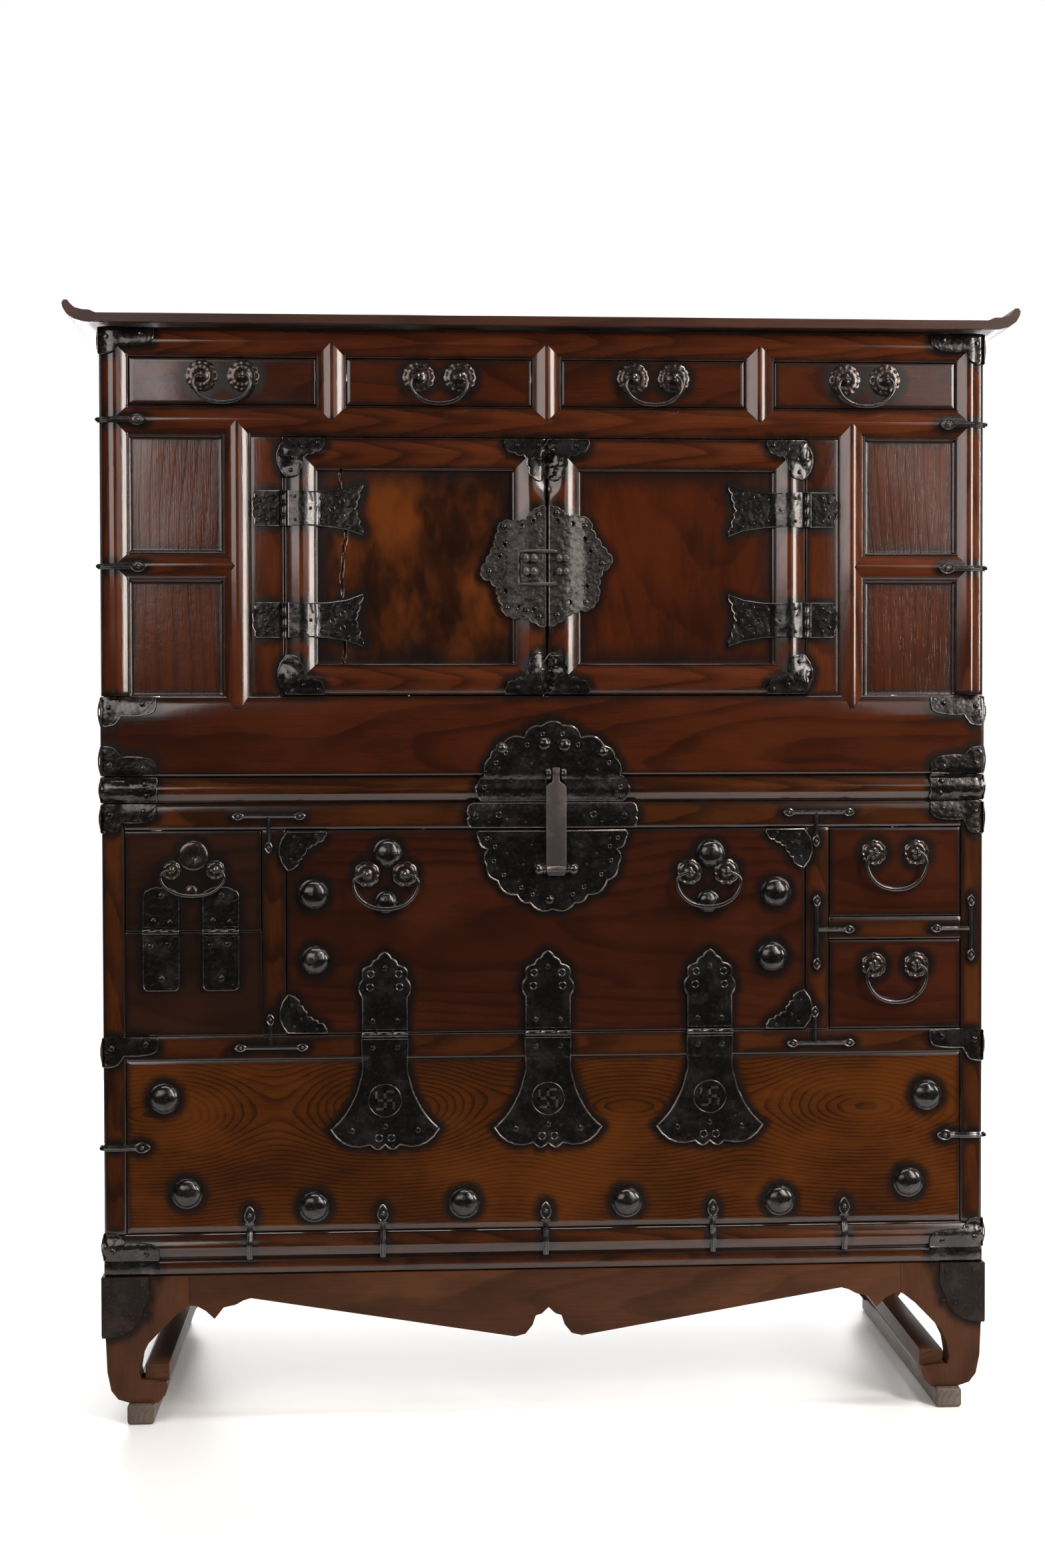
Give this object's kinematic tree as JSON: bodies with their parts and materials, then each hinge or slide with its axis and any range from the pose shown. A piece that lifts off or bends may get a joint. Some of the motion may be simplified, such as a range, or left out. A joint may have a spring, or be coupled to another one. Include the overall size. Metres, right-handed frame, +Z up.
{
  "type": "two-tier chest",
  "caption": "Tall two-tier wooden chest with iron fittings, small drawers, a pair of panelled doors and a locking drop front, on a low stand with floor runners.",
  "frame": {"origin": "centre of the overall box on the floor, under the runners", "axes": "+Z up from the floor; +X to the viewer's right along the front; +Y from the front to the back, so the doors and drawers face -Y"},
  "size_m": [1.16, 0.456, 1.3556],
  "materials": {
    "dark_wood": "dark red-brown lacquer, worn glossy",
    "warm_wood": "orange-brown lacquer over strong grain",
    "plain_wood": "unfinished, worn",
    "black_iron": "hammered, blackened and waxed"
  },
  "bodies": {
    "case": {"top_board": "dark_wood", "upper_side_left": "dark_wood", "upper_side_right": "dark_wood", "lower_side_left": "warm_wood", "lower_side_right": "warm_wood", "upper_back": "plain_wood", "lower_back": "plain_wood", "drawer_rack": "dark_wood", "top_rail": "dark_wood", "front_panel_left": "dark_wood", "front_panel_right": "dark_wood", "breast_board": "dark_wood", "waist_moulding": "dark_wood", "plinth": "warm_wood", "lower_top_rail": "warm_wood", "lower_panel": "warm_wood", "small_bay_panel": "warm_wood", "partition_left": "warm_wood", "partition_right": "warm_wood", "drawer_shelf": "warm_wood", "lock_plate_upper": "black_iron", "flap_hinge_1": "black_iron", "flap_hinge_2": "black_iron", "flap_hinge_3": "black_iron", "front_apron": "warm_wood", "leg_frame_left": "warm_wood", "leg_frame_right": "warm_wood", "runner_left": "plain_wood", "runner_right": "plain_wood"},
    "small_drawer_1": {"drawer_1": "dark_wood"},
    "small_drawer_2": {"drawer_2": "dark_wood"},
    "small_drawer_3": {"drawer_3": "dark_wood"},
    "small_drawer_4": {"drawer_4": "dark_wood"},
    "small_bail_1": {"drawer_bail_1": "black_iron"},
    "small_bail_2": {"drawer_bail_2": "black_iron"},
    "small_bail_3": {"drawer_bail_3": "black_iron"},
    "small_bail_4": {"drawer_bail_4": "black_iron"},
    "upper_side_drawer": {"side_drawer_upper": "warm_wood"},
    "lower_side_drawer": {"side_drawer_lower": "warm_wood"},
    "upper_side_bail": {"side_bail_upper": "black_iron"},
    "lower_side_bail": {"side_bail_lower": "black_iron"},
    "left_door": {"door_left": "dark_wood", "door_strap_upper_left": "black_iron", "door_strap_lower_left": "black_iron", "door_plate_left": "black_iron"},
    "right_door": {"door_right": "dark_wood", "door_strap_upper_right": "black_iron", "door_strap_lower_right": "black_iron", "door_plate_right": "black_iron"},
    "latch": {"latch_loop": "black_iron"},
    "drop_front": {"main_flap": "warm_wood", "flap_leaf_1": "black_iron", "flap_leaf_2": "black_iron", "flap_leaf_3": "black_iron", "lock_plate_lower": "black_iron"},
    "front_bail_left": {"flap_bail_left": "black_iron"},
    "front_bail_right": {"flap_bail_right": "black_iron"},
    "hasp_bar": {"hasp": "black_iron"},
    "side_flap": {"small_flap": "warm_wood"},
    "side_flap_bail": {"small_flap_bail": "black_iron"}
  },
  "joints": [
    {"name": "drawer_1_slide", "type": "slide", "parent": "case", "child": "small_drawer_1", "axis": [0, -1, 0], "range_m": [0, 0.3]},
    {"name": "drawer_2_slide", "type": "slide", "parent": "case", "child": "small_drawer_2", "axis": [0, -1, 0], "range_m": [0, 0.3]},
    {"name": "drawer_3_slide", "type": "slide", "parent": "case", "child": "small_drawer_3", "axis": [0, -1, 0], "range_m": [0, 0.3]},
    {"name": "drawer_4_slide", "type": "slide", "parent": "case", "child": "small_drawer_4", "axis": [0, -1, 0], "range_m": [0, 0.3]},
    {"name": "drawer_bail_1_swing", "type": "hinge", "parent": "small_drawer_1", "child": "small_bail_1", "pos_m": [-0.39225, -0.2155, 1.2695], "axis": [-1, 0, 0], "range_deg": [0, 95]},
    {"name": "drawer_bail_2_swing", "type": "hinge", "parent": "small_drawer_2", "child": "small_bail_2", "pos_m": [-0.13075, -0.2155, 1.2695], "axis": [-1, 0, 0], "range_deg": [0, 95]},
    {"name": "drawer_bail_3_swing", "type": "hinge", "parent": "small_drawer_3", "child": "small_bail_3", "pos_m": [0.13075, -0.2155, 1.2695], "axis": [-1, 0, 0], "range_deg": [0, 95]},
    {"name": "drawer_bail_4_swing", "type": "hinge", "parent": "small_drawer_4", "child": "small_bail_4", "pos_m": [0.39225, -0.2155, 1.2695], "axis": [-1, 0, 0], "range_deg": [0, 95]},
    {"name": "upper_side_drawer_slide", "type": "slide", "parent": "case", "child": "upper_side_drawer", "axis": [0, -1, 0], "range_m": [0, 0.3]},
    {"name": "lower_side_drawer_slide", "type": "slide", "parent": "case", "child": "lower_side_drawer", "axis": [0, -1, 0], "range_m": [0, 0.3]},
    {"name": "upper_side_bail_swing", "type": "hinge", "parent": "upper_side_drawer", "child": "upper_side_bail", "pos_m": [0.4305, -0.2155, 0.6886], "axis": [-1, 0, 0], "range_deg": [0, 95]},
    {"name": "lower_side_bail_swing", "type": "hinge", "parent": "lower_side_drawer", "child": "lower_side_bail", "pos_m": [0.4305, -0.2155, 0.5495], "axis": [-1, 0, 0], "range_deg": [0, 95]},
    {"name": "left_door_hinge", "type": "hinge", "parent": "case", "child": "left_door", "pos_m": [-0.319, -0.2088, 1.04], "axis": [0, 0, -1], "range_deg": [0, 160]},
    {"name": "right_door_hinge", "type": "hinge", "parent": "case", "child": "right_door", "pos_m": [0.319, -0.2088, 1.04], "axis": [0, 0, 1], "range_deg": [0, 160]},
    {"name": "latch_swing", "type": "hinge", "parent": "left_door", "child": "latch", "pos_m": [-0.035, -0.2095, 1.041], "axis": [0, 0, -1], "range_deg": [0, 170]},
    {"name": "drop_front_hinge", "type": "hinge", "parent": "case", "child": "drop_front", "pos_m": [0, -0.2088, 0.4704], "axis": [1, 0, 0], "range_deg": [0, 135]},
    {"name": "front_bail_left_swing", "type": "hinge", "parent": "drop_front", "child": "front_bail_left", "pos_m": [-0.1975, -0.2155, 0.6661], "axis": [-1, 0, 0], "range_deg": [0, 95]},
    {"name": "front_bail_right_swing", "type": "hinge", "parent": "drop_front", "child": "front_bail_right", "pos_m": [0.1975, -0.2155, 0.6661], "axis": [-1, 0, 0], "range_deg": [0, 95]},
    {"name": "hasp_pivot", "type": "hinge", "parent": "drop_front", "child": "hasp_bar", "pos_m": [0.01, -0.2156, 0.6716], "axis": [1, 0, 0], "range_deg": [0, 160]},
    {"name": "side_flap_hinge", "type": "hinge", "parent": "case", "child": "side_flap", "pos_m": [-0.4305, -0.2088, 0.5976], "axis": [1, 0, 0], "range_deg": [0, 155]},
    {"name": "side_flap_bail_swing", "type": "hinge", "parent": "side_flap", "child": "side_flap_bail", "pos_m": [-0.4305, -0.2155, 0.6726], "axis": [-1, 0, 0], "range_deg": [0, 95]}
  ],
  "couplings": [
    {"joint": "right_door_hinge", "follows": "left_door_hinge", "ratio": 1}
  ]
}
